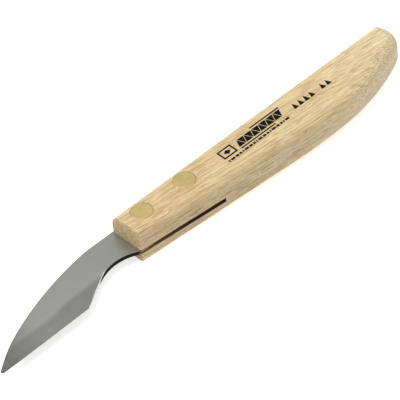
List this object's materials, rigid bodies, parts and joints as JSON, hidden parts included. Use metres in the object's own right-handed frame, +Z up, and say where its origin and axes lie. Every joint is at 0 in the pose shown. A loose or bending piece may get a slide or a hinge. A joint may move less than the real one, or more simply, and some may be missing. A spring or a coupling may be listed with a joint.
{
  "type": "chip carving knife",
  "caption": "Small fixed-blade carving knife: straight-edged blade with an arched spine in a slotted, riveted wooden handle with a straight back and a rounded butt.",
  "frame": {"origin": "middle of the knife's bounding rectangle, on the surface that the knife lies on", "axes": "+X from the tip to the butt, +Y from the cutting edge to the spine, +Z up through the handle's thickness, from the face it lies on to the face with the rivets in view"},
  "size_m": [0.1716, 0.0188, 0.012],
  "materials": {
    "blade_steel": "satin ground carbon steel, finer on the bevels",
    "handle_beech": "pale beech, sanded and lightly waxed, grain along the handle",
    "rivet_brass": "sanded flush with the wood, dull"
  },
  "bodies": {
    "root": {"blade": "blade_steel", "handle": "handle_beech", "front_rivet_tube": "rivet_brass", "front_rivet_pin": "rivet_brass", "rear_rivet_tube": "rivet_brass", "rear_rivet_pin": "rivet_brass"}
  },
  "joints": []
}
